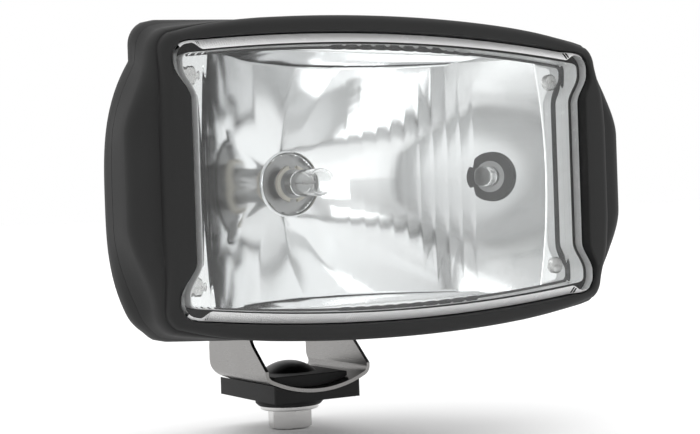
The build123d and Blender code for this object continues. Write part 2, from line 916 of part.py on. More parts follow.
with BuildPart() as carriage_bolt:
    with BuildSketch(Plane.XZ):
        with BuildLine():
            ThreePointArc(
                (dome_radius, saddle_top),
                (dome_radius / 2, cap_middle + sqrt(cap_radius**2 - dome_radius**2 / 4)),
                (0, saddle_top + dome_height),
            )
            Polyline((0, saddle_top + dome_height), (0, saddle_top), (dome_radius, saddle_top))
        make_face()
    revolve(axis=Axis.Z)
    with BuildSketch(Plane.XY.offset(neck_low)):
        Rectangle(neck_square, neck_square)
    extrude(amount=saddle_top - neck_low)
    with BuildSketch(Plane.XY.offset(stud_low)):
        Circle(stud_radius)
    extrude(amount=saddle_top - stud_low)
    chamfer(carriage_bolt.faces().sort_by(Axis.Z)[0].edges(), 0.8)
finish(carriage_bolt, "carriage_bolt")

washer_top = -slip / 2
with BuildPart() as mount_washer:
    with BuildSketch(Plane.XY.offset(washer_top)):
        Circle(washer_radius)
        Circle(stud_radius + 0.25, mode=Mode.SUBTRACT)
    extrude(amount=-washer_sheet)
    fillet(mount_washer.faces().sort_by(Axis.Z)[0].outer_wire().edges(), 0.5)
finish(mount_washer, "mount_washer")

with BuildPart() as mount_nut:
    add(
        hexagon(
            Plane.XY.offset(washer_top - washer_sheet - nut_height),
            nut_flats,
            nut_height,
            nut_turn,
        )
    )
    with BuildSketch(Plane.XY.offset(washer_top - washer_sheet)):
        Circle(stud_radius + run)
    extrude(amount=-nut_height, mode=Mode.SUBTRACT)
finish(mount_nut, "mount_nut")
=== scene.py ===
from math import atan2, cos, floor, hypot, pi, radians, sin, sqrt

import bmesh
import bpy
from mathutils import Matrix, Vector


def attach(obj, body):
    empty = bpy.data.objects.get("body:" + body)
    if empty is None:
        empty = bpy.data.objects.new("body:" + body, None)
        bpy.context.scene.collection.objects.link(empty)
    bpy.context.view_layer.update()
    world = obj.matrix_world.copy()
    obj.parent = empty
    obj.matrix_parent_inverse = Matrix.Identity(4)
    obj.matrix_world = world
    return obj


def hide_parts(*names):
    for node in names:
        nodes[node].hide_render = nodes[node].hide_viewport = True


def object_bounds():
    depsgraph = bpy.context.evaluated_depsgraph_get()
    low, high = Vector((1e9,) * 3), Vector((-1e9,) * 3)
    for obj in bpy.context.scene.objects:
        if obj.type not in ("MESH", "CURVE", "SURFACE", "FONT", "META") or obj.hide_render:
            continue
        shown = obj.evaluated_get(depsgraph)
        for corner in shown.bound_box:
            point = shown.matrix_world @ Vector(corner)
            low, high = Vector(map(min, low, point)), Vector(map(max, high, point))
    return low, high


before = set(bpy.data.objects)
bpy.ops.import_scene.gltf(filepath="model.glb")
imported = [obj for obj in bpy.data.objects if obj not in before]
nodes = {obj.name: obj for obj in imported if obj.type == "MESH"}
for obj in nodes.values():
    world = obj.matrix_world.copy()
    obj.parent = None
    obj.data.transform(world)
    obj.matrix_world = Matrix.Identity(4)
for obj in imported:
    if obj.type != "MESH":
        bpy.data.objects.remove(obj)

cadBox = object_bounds()
mm = 0.001
lamp = dict(middle=96.0, boltBack=100.6)  # lamp's middle over the vehicle, frame's front to bolt


# shader sockets that ordinary sums work on
class Field:
    def __init__(self, sheet, socket):
        self.sheet = sheet
        self.socket = socket

    def sum(self, operation, first, second=0.0):
        return self.sheet.node("Math", dict(operation=operation), {0: first, 1: second})

    def __add__(self, other):
        return self.sum("ADD", self, other)

    def __radd__(self, other):
        return self.sum("ADD", other, self)

    def __sub__(self, other):
        return self.sum("SUBTRACT", self, other)

    def __rsub__(self, other):
        return self.sum("SUBTRACT", other, self)

    def __mul__(self, other):
        return self.sum("MULTIPLY", self, other)

    def __rmul__(self, other):
        return self.sum("MULTIPLY", other, self)


class Finish:
    def __init__(self, name, tree=None):
        self.material = None
        if tree is None:
            self.material = bpy.data.materials.new(name)
            self.material.use_nodes = True
            tree = self.material.node_tree
        self.tree = tree
        tree.nodes.clear()

    def node(self, kind, settings=None, sockets=None, out=0):
        made = self.tree.nodes.new("ShaderNode" + kind)
        for key, value in (settings or {}).items():
            if key == "stops":
                for index, (place, shade) in enumerate(value):
                    if index > 1:
                        made.color_ramp.elements.new(place)
                    made.color_ramp.elements[index].position = place
                    made.color_ramp.elements[index].color = (shade, shade, shade, 1)
            else:
                setattr(made, key, value)
        for key, value in (sockets or {}).items():
            if isinstance(value, Field):
                self.tree.links.new(value.socket, made.inputs[key])
            else:
                made.inputs[key].default_value = value
        return Field(self, made.outputs[out]) if made.outputs else made

    def place(self):
        return self.node("TexCoord", out="Object")

    def stretched(self, scale):
        return self.node("Mapping", {}, {"Vector": self.place(), "Scale": scale})

    def noise(self, scale, detail=3.0, rough=0.55, vector=None):
        return self.node(
            "TexNoise",
            {},
            {
                "Vector": vector or self.place(),
                "Scale": scale,
                "Detail": detail,
                "Roughness": rough,
            },
        )

    def ramp(self, value, *stops):
        return self.node("ValToRGB", dict(stops=stops), {"Fac": value})

    def blend(self, mask, first, second):
        return self.node(
            "Mix", dict(data_type="RGBA"), {0: mask, 6: first, 7: second}, out=2
        )

    def bump(self, height, depth, strength=1.0):
        return self.node(
            "Bump", {}, {"Height": height, "Distance": depth, "Strength": strength}
        )

    def coat(self, **sockets):
        names = {key: key.replace("_", " ") for key in sockets}
        shader = self.node("BsdfPrincipled", {}, {names[k]: v for k, v in sockets.items()})
        self.node("OutputMaterial", {}, {"Surface": shader})
        return self.material


def grey(level, warm=0.0):
    return (level * (1 + warm), level, level * (1 - warm), 1)


print("finishes")


# moulded plastic, with the fine grain of a spark-eroded mould
plastic = dict(
    cloud=38.0, dust=420.0, dustFrom=0.62, dustTo=0.9, dustMost=0.35, dustTone=2.2,
    roughCloud=0.10, roughGrain=0.06, shine=0.24,
)


def mouldedPlastic(name, shade, rough, grain=2600.0, relief=0.00004, warm=0.0, worn=0.2):
    p = plastic
    made = Finish(name)
    fine = made.noise(grain, 2.0)
    broad = made.noise(p["cloud"], 4.0)
    dust = made.noise(p["dust"], 5.0, 0.7)
    tone = made.blend(broad, grey(shade * (1 - worn), warm), grey(shade * (1 + worn), warm))
    settled = made.ramp(dust, (p["dustFrom"], 0.0), (p["dustTo"], p["dustMost"]))
    return made.coat(
        Base_Color=made.blend(settled, tone, grey(shade * p["dustTone"], warm)),
        Roughness=rough + p["roughCloud"] * broad + p["roughGrain"] * fine,
        Specular_IOR_Level=p["shine"],
        Normal=made.bump(fine, relief),
    )


# rolled or turned metal: fine lines along one direction
metal = dict(
    cloud=55.0, stainFrom=0.45, stainTo=0.8, stainMost=0.6, stainWarm=1.6, roughCloud=0.08
)


def linedMetal(name, shade, rough, lines, warm=0.0, relief=0.00002, spread=0.16, stain=0.12):
    m = metal
    made = Finish(name)
    grain = made.noise(1.0, 4.0, 0.6, made.stretched(lines))
    cloud = made.noise(m["cloud"], 5.0, 0.6)
    tone = made.blend(grain, grey(shade * (1 - spread / 2), warm), grey(shade, warm))
    stained = made.ramp(cloud, (m["stainFrom"], 0.0), (m["stainTo"], m["stainMost"]))
    return made.coat(
        Base_Color=made.blend(stained, tone, grey(shade * (1 - stain), warm * m["stainWarm"])),
        Metallic=1.0,
        Roughness=rough + spread * (grain - 0.5) + m["roughCloud"] * cloud,
        Normal=made.bump(grain, relief),
    )


mirror = dict(cloud=30.0, fleck=900.0, dull=0.88, bright=0.95, rough=0.05, hazy=0.06, flecked=0.04)


def mirrorCoat(name):
    m = mirror
    made = Finish(name)
    cloud = made.noise(m["cloud"], 3.0)
    fleck = made.noise(m["fleck"], 3.0, 0.6)
    return made.coat(
        Base_Color=made.blend(cloud, grey(m["dull"], -0.004), grey(m["bright"], -0.003)),
        Metallic=1.0,
        Roughness=m["rough"] + m["hazy"] * cloud + m["flecked"] * fleck,
    )


pressed = dict(
    film=70.0, filmRough=0.015, bend=1.47,
    clear=(0.985, 0.99, 0.99, 1), shadow=(0.94, 0.95, 0.95, 1),
)


def pressedGlass(name, tint, rough=0.0):
    made = Finish(name)
    film = made.noise(pressed["film"], 4.0)
    body = made.node(
        "BsdfPrincipled",
        {},
        {
            "Base Color": made.blend(film, tint, pressed["clear"]),
            "Roughness": rough + pressed["filmRough"] * film,
            "Transmission Weight": 1.0,
            "IOR": pressed["bend"],
        },
    )
    clear = made.node("BsdfTransparent", {}, {"Color": pressed["shadow"]})
    shade = made.node("LightPath", out="Is Shadow Ray")
    made.node(
        "OutputMaterial",
        {},
        {"Surface": made.node("MixShader", {}, {0: shade, 1: body, 2: clear})},
    )
    return made.material


# the glass's bevel and side walls are finely ribbed, which scatters the light into a pale band
ribbed = dict(film=260.0, dull=0.86, bright=0.97, rough=0.22, filmRough=0.08)


def ribbedGlass(name):
    made = Finish(name)
    film = made.noise(ribbed["film"], 3.0)
    return made.coat(
        Base_Color=made.blend(film, grey(ribbed["dull"]), grey(ribbed["bright"])),
        Roughness=ribbed["rough"] + ribbed["filmRough"] * film,
    )


rubber = dict(
    bloom=60.0, grain=1900.0, dark=0.8, pale=1.5, rough=0.62, bloomRough=0.14, shine=0.35,
    relief=0.00003,
)


def softRubber(name, shade):
    r = rubber
    made = Finish(name)
    bloom = made.noise(r["bloom"], 5.0, 0.65)
    fine = made.noise(r["grain"], 2.0)
    return made.coat(
        Base_Color=made.blend(bloom, grey(shade * r["dark"]), grey(shade * r["pale"])),
        Roughness=r["rough"] + r["bloomRough"] * bloom,
        Specular_IOR_Level=r["shine"],
        Normal=made.bump(fine, r["relief"]),
    )


ceramic = dict(
    speck=1500.0, dark=(0.60, 0.56, 0.48, 1), pale=(0.80, 0.77, 0.70, 1), rough=0.5, speckRough=0.1,
    relief=0.00002,
)


def firedCeramic(name):
    c = ceramic
    made = Finish(name)
    speck = made.noise(c["speck"], 4.0, 0.7)
    return made.coat(
        Base_Color=made.blend(speck, c["dark"], c["pale"]),
        Roughness=c["rough"] + c["speckRough"] * speck,
        Normal=made.bump(speck, c["relief"]),
    )


finishes = dict(
    black_plastic=mouldedPlastic("blackPlastic", 0.0145, 0.50),
    pale_plastic=mouldedPlastic("palePlastic", 0.50, 0.42, relief=0.00002, worn=0.06),
    clear_glass=pressedGlass("clearGlass", (0.955, 0.975, 0.972, 1)),
    ribbed_glass=ribbedGlass("ribbedGlass"),
    bulb_glass=pressedGlass("bulbGlass", (0.97, 0.975, 0.97, 1)),
    black_rubber=softRubber("blackRubber", 0.02),
    grey_rubber=softRubber("greyRubber", 0.09),
    mirror_coat=mirrorCoat("mirrorCoat"),
    zinc_screws=linedMetal("zincScrews", 0.62, 0.24, (900, 900, 60), 0.01),
    filament_wire=linedMetal("filamentWire", 0.30, 0.35, (200, 3000, 3000), 0.02),
    bulb_metal=linedMetal("bulbMetal", 0.42, 0.34, (700, 90, 700)),
    bulb_ceramic=firedCeramic("bulbCeramic"),
    spring_wire=linedMetal("springWire", 0.5, 0.3, (500, 500, 500)),
    lead_sleeve=softRubber("leadSleeve", 0.05),
    stainless_fasteners=linedMetal("stainlessFasteners", 0.62, 0.17, (500, 500, 1400), 0.012),
    stainless_sheet=linedMetal(
        "stainlessSheet", 0.27, 0.25, (2600, 45, 2600), 0.022, relief=0.00001
    ),
    dark_bolt=linedMetal("darkBolt", 0.06, 0.36, (300, 300, 300)),
)
for name, node in nodes.items():
    for entry in node.material_slots:
        entry.link = "DATA"
        entry.material = finishes[entry.material.name.split(".")[0]]
# two nodes look other than their slot's own finish
nodes["parking_grommet"].material_slots[0].material = finishes["grey_rubber"]
nodes["bulb_seat"].material_slots[0].material = finishes["bulb_metal"]


print("outlines")
# s runs -1 to 1 across and t upwards; an outline is followed with one of them at its limit
window = dict(
    wide=93.5, waist=88.4, high=55.0, drop=5.3, corner=7.0, waistFrom=28.6, waistTo=40.4
)
outer = dict(wide=100.0, high=61.1, drop=6.0, corner=10.0)
ear = dict(wide=110.5, low=15.0, high=49.0)


def ease(value):
    value = min(1.0, max(0.0, value))
    return value * value * (3 - 2 * value)


def roundedSide(height, wide, end, corner):
    into = abs(height) - (end - corner)
    return wide if into <= 0 else wide - corner + sqrt(max(0.0, corner**2 - into**2))


def arched(s, t, shape, grow, side):
    corner = shape["corner"] + grow
    end = shape["high"] - shape["drop"] + grow
    x = s * roundedSide(t * end, side(t * end), end, corner)
    return x, t * (end + shape["drop"] * (1 - s * s))


def windowAt(s, t, grow):
    def side(z):
        share = ease(
            (abs(z) - window["waistFrom"]) / (window["waistTo"] - window["waistFrom"])
        )
        return window["waist"] + (window["wide"] - window["waist"]) * share + grow

    return arched(s, t, window, grow, side)


def frameAt(s, t, grow):
    return arched(s, t, outer, grow, lambda z: outer["wide"] + grow)


def around(columns, rows):
    loop = [(2 * i / columns - 1, -1) for i in range(columns)]
    loop += [(1, 2 * i / rows - 1) for i in range(rows)]
    loop += [(1 - 2 * i / columns, 1) for i in range(columns)]
    loop += [(-1, 1 - 2 * i / rows) for i in range(rows)]
    return loop


# the loop round a grid's border, in the order of around()
def borderOf(grid):
    rim = grid[0][:-1]
    rim += [row[-1] for row in grid[:-1]]
    rim += grid[-1][:0:-1]
    rim += [row[0] for row in grid[:0:-1]]
    return rim


# points and faces of one piece, gathered loop by loop
class Skin:
    def __init__(self):
        self.points = []
        self.faces = []

    def loop(self, points):
        start = len(self.points)
        self.points += [spot(*p) for p in points]
        return list(range(start, len(self.points)))

    def bridge(self, first, second, closed=True):
        count = len(first)
        for i in range(count if closed else count - 1):
            j = (i + 1) % count
            self.faces.append((first[i], first[j], second[j], second[i]))

    def tube(self, loops, endless=False):
        made = [self.loop(points) for points in loops]
        for first, second in zip(made, made[1:] + made[:1] if endless else made[1:]):
            self.bridge(first, second)
        return made

    def sheet(self, rows):
        made = [self.loop(points) for points in rows]
        for first, second in zip(made, made[1:]):
            self.bridge(first, second, closed=False)
        return made


def spot(x, z, depth):
    return (x * mm, (depth - lamp["boltBack"]) * mm, (z + lamp["middle"]) * mm)


def circle(x, z, radius, depth, sides):
    turns = [2 * pi * i / sides for i in range(sides)]
    return [(x + radius * cos(turn), z + radius * sin(turn), depth) for turn in turns]


def meshOf(name, skin, weld=0.0):
    mesh = bpy.data.meshes.new(name)
    mesh.from_pydata(skin.points, [], skin.faces)
    shape = bmesh.new()
    shape.from_mesh(mesh)
    if weld:
        bmesh.ops.remove_doubles(shape, verts=shape.verts, dist=weld)
        bmesh.ops.dissolve_degenerate(shape, edges=shape.edges, dist=weld)
    bmesh.ops.recalc_face_normals(shape, faces=shape.faces)
    shape.to_mesh(mesh)
    shape.free()
    return mesh


def linked(name, data):
    made = bpy.data.objects.new(name, data)
    bpy.context.scene.collection.objects.link(made)
    return made


weldGap = 0.00001  # points closer than this, in metres, become one


def makePiece(name, skin, slot, replaced=(), crease=38):
    mesh = meshOf(name, skin, weldGap)
    for face in mesh.polygons:
        face.use_smooth = True
    mesh.set_sharp_from_angle(angle=radians(crease))
    mesh.materials.append(finishes[slot])
    piece = linked(name, mesh)
    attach(piece, "lamp")
    if replaced:
        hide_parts(*replaced)
    return piece


print("front bezel")
bezel = dict(
    columns=150, rows=110, lip=0.8, lipSteps=4, lift=3.6, liftFrom=27.0, liftTo=47.0,
    sag=1.6, sagFrom=45.0, sagOver=8.0, sagWide=100.0, edge=4.0, edgeOpen=0.22,
    shrink=2.2, shrinkPower=6, groove=0.4, grooveEar=0.2, grooveOut=0.15, flatStep=0.1,
    flatCuts=3, back=21.5, flareCuts=(0.35, 0.7, 1.0), flange=13.0, grow=3.2, steps=8, earRound=6.6,
)
skirt = dict(
    wide=99.8, high=61.1, low=60.4, dropHigh=1.9, dropLow=2.6, cornerHigh=9.5, cornerLow=10.5,
    bulge=10.7, belly=-6.0, bulgeHigh=50.0, bulgeLow=48.0, depth=29.0,
)


def faceDepth(x, z):
    # How far the frame's front lies behind its foremost line, which is at the ears.
    b = bezel
    side = b["lift"] * ease((abs(z) - b["liftFrom"]) / (b["liftTo"] - b["liftFrom"]))
    sag = ease((abs(z) - b["sagFrom"]) / b["sagOver"]) * (1 - (x / b["sagWide"]) ** 2)
    return side - b["sag"] * sag


def skirtAt(s, t):
    # Outline of the moulding where it is widest, with the bulge of the ears.
    k = skirt
    upper = t > 0
    high = k["high"] if upper else k["low"]
    drop = k["dropHigh"] if upper else k["dropLow"]
    corner = k["cornerHigh"] if upper else k["cornerLow"]
    end = high - drop
    z = t * end

    reach = abs(z - k["belly"]) / (k["bulgeHigh"] if z > k["belly"] else k["bulgeLow"])
    swell = k["bulge"] * max(0.0, 1 - reach**3)
    x = s * (roundedSide(z, k["wide"], end, corner) + swell)
    return x, t * (end + drop * (1 - s * s))


def between(first, second, share):
    return tuple(a + (b - a) * share for a, b in zip(first, second))


def bezelSection(s, t):
    # One cut through the moulding, from the window's wall over the front to the back.
    b = bezel
    windowX, windowZ = windowAt(s, t, 0)
    face = faceDepth(windowX, windowZ)
    frameX, frameZ = frameAt(s, t, 0)
    wideX, wideZ = skirtAt(s, t)
    onSide = abs(s) == 1
    earShare = ease((ear["high"] - abs(frameZ)) / (ear["high"] - ear["low"])) if onSide else 0
    shrink = b["shrink"] * (1 - earShare if onSide else abs(s) ** b["shrinkPower"])
    section = [(windowX, windowZ, b["flange"])]
    for i in range(b["lipSteps"] + 1):  # small round at the window's edge
        turn = i / b["lipSteps"] * pi / 2
        grow = b["lip"] * (1 - cos(turn))
        section.append((*windowAt(s, t, grow), face + b["lip"] * (1 - sin(turn))))
    for i in range(b["steps"] + 1):  # the frame's outer edge
        turn = i / b["steps"] * pi / 2 * (1 - b["edgeOpen"] * earShare)
        grow = b["edge"] * (sin(turn) - 1) - shrink
        section.append((*frameAt(s, t, grow), face + b["edge"] * (1 - cos(turn))))
    ditchDepth = section[-1][2] + b["groove"] + b["grooveEar"] * earShare
    ditch = (*frameAt(s, t, min(0.0, b["grooveOut"] - shrink)), ditchDepth)
    section.append(ditch)
    # the shoulder runs on flat at the ears, then rounds over; elsewhere it only rounds over
    earX = frameX + (ear["wide"] - outer["wide"]) * earShare * (1 if frameX > 0 else -1)
    edge = (earX, frameZ)
    room = max(0.01, hypot(edge[0] - ditch[0], edge[1] - ditch[1]))
    roundness = min(b["earRound"], room)
    start = ditchDepth + b["flatStep"]
    for i in range(1, b["flatCuts"] + 1):
        along = (1 - roundness / room) * i / b["flatCuts"]
        section.append((*between(ditch[:2], edge, along), start))
    for i in range(1, b["steps"] + 1):
        turn = i / b["steps"] * pi / 2
        along = 1 - roundness / room * (1 - sin(turn))
        section.append(
            (*between(ditch[:2], edge, along), start + b["earRound"] * (1 - cos(turn)))
        )
    midX, midZ, midDepth = section[-1]
    for share in b["flareCuts"]:  # out to the widest line behind
        further = (b["back"] - midDepth) * share
        flare = ease(further / (skirt["depth"] - midDepth))
        section.append((*between((midX, midZ), (wideX, wideZ), flare), midDepth + further))
    section.append((*windowAt(s, t, b["grow"]), b["back"]))
    section.append((*windowAt(s, t, b["grow"]), b["flange"]))
    return section


skin = Skin()
course = around(bezel["columns"], bezel["rows"])
sections = [bezelSection(s, t) for s, t in course]
skin.tube([list(ring) for ring in zip(*sections)], endless=True)
makePiece("bezelMoulding", skin, "black_plastic", replaced=["front_bezel"], crease=50)


print("rear housing")
housing = dict(
    parting=0.25, wall=2.5, lipGrow=2.0, lipBlend=0.45, lipCuts=(0.3, 0.65), back=118.0,
    edge=6.0, edgePull=1.6, edgeSteps=6, cuts=22, cutSpread=1.25, crown=4.0, flat=1.7,
    leanHigh=0.14, leanLow=0.045, leanPower=2.4, drawSide=0.62, drawTop=0.4, blendOver=24.0,
    # depth, half width, height above, height below, corner
    sections=(
        (29.0, 110.5, 61.0, 60.4, 9.0), (38.0, 105.4, 59.0, 58.6, 12.0),
        (62.0, 95.0, 53.0, 54.0, 16.0), (92.0, 76.0, 43.0, 45.0, 18.0),
        (112.0, 55.0, 31.0, 34.5, 16.0),
    ),
    innerReach=94.5, innerStart=2.5, innerStep=12.0, innerCuts=6, innerBack=0.82,
    screwX=101.0, screwZ=11.0, screwRecess=4.0, screwFace=30.0, screwReach=60.0,
)


def curveThrough(knots, at):
    # Smooth value through knots of (place, values...).
    for i in range(len(knots) - 1):
        if at <= knots[i + 1][0] or i == len(knots) - 2:
            break
    before, first = knots[max(i - 1, 0)], knots[i]
    second, after = knots[i + 1], knots[min(i + 2, len(knots) - 1)]
    gap = second[0] - first[0]
    u = (at - first[0]) / gap
    values = []
    for k in range(1, len(first)):
        slopeA = (second[k] - before[k]) / (second[0] - before[0]) * gap
        slopeB = (after[k] - first[k]) / (after[0] - first[0]) * gap
        values.append(
            (2 * u**3 - 3 * u**2 + 1) * first[k] + (u**3 - 2 * u**2 + u) * slopeA
            + (3 * u**2 - 2 * u**3) * second[k] + (u**3 - u**2) * slopeB
        )
    return values


bowlStart = skirt["depth"]
bowlEnd = housing["sections"][-1][0]


def housingAt(s, t, depth, inset=0.0):
    # Point of the bowl behind the moulding.
    h = housing
    wide, high, low, corner = curveThrough(h["sections"], max(depth, bowlStart))
    end = (high if t > 0 else low) - h["crown"]
    z = t * end
    lean = h["leanHigh"] if z > 0 else h["leanLow"]
    side = wide * (1 - lean * min(1.0, abs(z) / end) ** h["leanPower"])
    side -= corner - sqrt(max(0.0, corner**2 - max(0.0, abs(z) - (end - corner)) ** 2))
    point = (s * side, t * (end + h["crown"] * (1 - s * s)))
    behind = max(0.0, depth - bowlStart)
    startX, startZ = skirtAt(s, t)
    start = (
        startX - h["drawSide"] * behind * s,
        startZ - h["drawTop"] * h["drawSide"] * behind * t,
    )
    x, z = between(start, point, ease((depth - bowlStart) / h["blendOver"]))
    length = hypot(x / h["flat"], z) or 1.0
    return x - inset * x / h["flat"] / length, z - inset * z / length


def housingLoop(depth, inset=0.0):
    return [(*housingAt(s, t, depth, inset), depth) for s, t in course]


skin = Skin()
lip = bezel["back"] + housing["parting"]
loops = [[(*windowAt(s, t, housing["lipGrow"]), lip) for s, t in course]]
backEdge = [section[-3][:2] for section in sections]  # where the moulding ends
loops.append([(x, z, lip) for x, z in backEdge])
for share in housing["lipCuts"]:
    grown = ease(housing["lipBlend"] + (1 - housing["lipBlend"]) * share)
    depth = lip + (bowlStart - lip) * share
    loops.append(
        [(*between(edge, skirtAt(s, t), grown), depth) for edge, (s, t) in zip(backEdge, course)]
    )
for i in range(housing["cuts"] + 1):
    share = (i / housing["cuts"]) ** housing["cutSpread"]
    loops.append(housingLoop(bowlStart + (bowlEnd - bowlStart) * share))
last = loops[-1]
for i in range(1, housing["edgeSteps"] + 1):  # round into the flat back
    turn = i / housing["edgeSteps"] * pi / 2
    pull = housing["edge"] * housing["edgePull"] * (1 - cos(turn))
    depth = bowlEnd + housing["edge"] * sin(turn)
    shares = [1 - pull / hypot(x, z) for x, z, edgeDepth in last]
    loops.append([(x * k, z * k, depth) for (x, z, edgeDepth), k in zip(last, shares)])
made = skin.tube(loops)
skin.faces.append(tuple(made[-1]))
inside = [housingLoop(lip + housing["innerStart"], housing["wall"] + 1.0)]
for i in range(1, housing["innerCuts"] + 1):
    inside.append(housingLoop(bowlStart + housing["innerStep"] * i, housing["wall"]))
reach = housing["innerReach"]  # the wall is thicker where the screws go in
inside = [[(max(-reach, min(reach, x)), z, depth) for x, z, depth in ring] for ring in inside]
floorDepth = housing["back"] - housing["wall"]
share = housing["innerBack"]
inside.append([(x * share, z * share, floorDepth) for x, z, depth in inside[-1]])
made = skin.tube([loops[0]] + inside)
skin.faces.append(tuple(made[-1]))
shell = makePiece("housingShell", skin, "black_plastic", replaced=["rear_housing"], crease=45)


def roundTool(x, z, depth, length, radius, sides=40):
    # Closed cylinder along the lamp's axis, to cut with.
    tool = Skin()
    ends = tool.tube([circle(x, z, radius, d, sides) for d in (depth, depth + length)])
    tool.faces += [tuple(end) for end in ends]
    return linked("tool", meshOf("tool", tool))


def cutAway(piece, tools):
    for tool in tools:
        cut = piece.modifiers.new("cut", "BOOLEAN")
        cut.operation = "DIFFERENCE"
        cut.solver = "EXACT"
        cut.object = tool
    solid = bpy.data.meshes.new_from_object(
        piece.evaluated_get(bpy.context.evaluated_depsgraph_get())
    )
    piece.modifiers.clear()
    piece.data = solid
    for tool in tools:
        bpy.data.objects.remove(tool)


h = housing
cutAway(
    shell,
    [
        roundTool(
            sx * h["screwX"], sz * h["screwZ"], h["screwFace"], h["screwReach"], h["screwRecess"]
        )
        for sx in (1, -1)
        for sz in (1, -1)
    ],
)

lug = dict(
    half=23.7, y=4.4, z=43.0, boss=11.0, bossSteps=24, top=70.0, edge=1.2, edgeMiddle=0.3,
    # corners inside the housing, from y and top
    root=((11.6, -14), (9, 3), (-14, -4), (-11.4, -12)),
)
skin = Skin()
outline = []
for i in range(lug["bossSteps"] + 1):
    turn = pi + i / lug["bossSteps"] * pi
    outline.append((lug["y"] + lug["boss"] * cos(turn), lug["z"] + lug["boss"] * sin(turn)))
outline += [(lug["y"] + y, lug["top"] + z) for y, z in lug["root"]]
middleY = sum(y for y, z in outline) / len(outline)
middleZ = sum(z for y, z in outline) / len(outline)
rounding = ((0.0, lug["edge"]), (lug["edgeMiddle"] * lug["edge"],) * 2, (lug["edge"], 0.0))
sides = [(along - lug["half"], pull) for along, pull in rounding]
sides += [(lug["half"] - along, pull) for along, pull in reversed(rounding)]
rings = []
for x, pull in sides:
    points = []
    for y, z in outline:
        share = 1 - pull / hypot(y - middleY, z - middleZ)
        high = middleZ + (z - middleZ) * share - lamp["middle"]
        points.append((x, high, middleY + (y - middleY) * share + lamp["boltBack"]))
    rings.append(points)
made = skin.tube(rings)
skin.faces += [tuple(made[0]), tuple(made[-1])]
makePiece("pivotLug", skin, "black_plastic", crease=45)


print("lens")
glass = dict(
    columns=372, rows=168, front=4.0, gap=0.5, bevel=3.6, sideBevel=0.9, bevelFade=0.06,
    wall=3.2, side=4.1, flange=13.1, flangeGrow=2.7, back=15.5, innerCut=0.3, serration=0.16,
    # share of the bevel's depth, and how much of the serration stands there
    bevelCuts=((0, 0), (0.05, 0), (0.1, 1), (0.5, 1), (0.88, 1), (0.93, 0), (1, 0)),
    flat=0.95, wallTurn=0.2,
)
flutes = dict(
    middle=3.0, pitch=6.4, count=10, relief=0.075, cutFrom=24.0, cutTo=44.0, rimStep=0.022,
    rimOver=0.12, lean=0.32, scallopFrom=46.0, scallopOver=4.0, scallop=0.14, ribsFrom=79.0,
    ribPitch=2.6, ribRelief=0.12,
)


def fluteHeight(x, z):
    f = flutes
    across = (x - f["middle"]) / f["pitch"] + f["count"] / 2
    height = 0.0
    if 0 < across < f["count"]:
        u = across - floor(across)
        crown = u / (1 - f["lean"]) if u < 1 - f["lean"] else (1 - u) / f["lean"]
        crown = 1 - (1 - crown) ** 2
        # a sloping cut takes the crowns off above and below, which leaves pointed arches
        cut = 1 - ease((abs(z) - f["cutFrom"]) / (f["cutTo"] - f["cutFrom"]))
        rimHeight = f["rimStep"] * ease((crown - cut) / f["rimOver"])
        height = f["relief"] * min(crown, cut) + rimHeight
        if abs(z) > f["scallopFrom"]:
            dome = 1 - (2 * u - 1) ** 2
            rise = (abs(z) - f["scallopFrom"]) / f["scallopOver"]
            height = max(height, f["scallop"] * min(dome, rise))
    if abs(x) > f["ribsFrom"]:
        height += f["ribRelief"] * (0.5 + 0.5 * cos(2 * pi * x / f["ribPitch"]))
    return height


skin = Skin()
g = glass
ring = around(g["columns"], g["rows"])


def bevelLoop(inset, share, wave):
    # The bevel is broad above and below and only an edge break at the sides.
    points = []
    for i, (s, t) in enumerate(ring):
        broad = ease((1 - abs(s)) / g["bevelFade"])
        deep = g["sideBevel"] + (g["bevel"] - g["sideBevel"]) * broad
        x = windowAt(s, t, inset - g["sideBevel"] * (1 - share))[0]
        z = windowAt(s, t, inset - deep * (1 - share))[1]
        shift = wave * broad * (1 if i % 2 else -1) if abs(t) == 1 else 0
        points.append((x, z, g["front"] + deep * share + shift))
    return points


inset = -g["gap"]
inner = inset - g["side"]  # the side wall covers the seal behind it
loops = [bevelLoop(inset, share, wave * g["serration"]) for share, wave in g["bevelCuts"]]
for grow, depth in (
    (inset, g["flange"]), (g["flangeGrow"], g["flange"]), (g["flangeGrow"], g["back"]),
    (inner, g["back"]), (inner, g["front"] + g["wall"] + g["innerCut"]),
):
    loops.append([(*windowAt(s, t, grow), depth) for s, t in ring])
made = skin.tube(loops)
skin.faces.append(tuple(made[0]))
rows = []
for j in range(g["rows"] + 1):
    t = 2 * j / g["rows"] - 1
    row = []
    for i in range(g["columns"] + 1):
        s = 2 * i / g["columns"] - 1
        x, z = windowAt(s, t, inner - g["innerCut"])
        edge = max(abs(s), abs(t)) >= 1
        row.append((x, z, g["front"] + g["wall"] + (0 if edge else fluteHeight(x, z))))
    rows.append(row)
skin.bridge(made[-1], borderOf(skin.sheet(rows)))
lens = makePiece("lensGlass", skin, "clear_glass", replaced=["lens"], crease=25)
lens.data.materials.append(finishes["ribbed_glass"])  # on the bevel and the side walls
for face in lens.data.polygons:
    turn = abs(face.normal.y)
    upright = abs(face.normal.z) > abs(face.normal.x)
    inside = face.center.y > spot(0, 0, g["front"] + g["wall"])[1]
    if turn < g["flat"] and (turn < g["wallTurn"] or upright or inside):
        face.material_index = 1


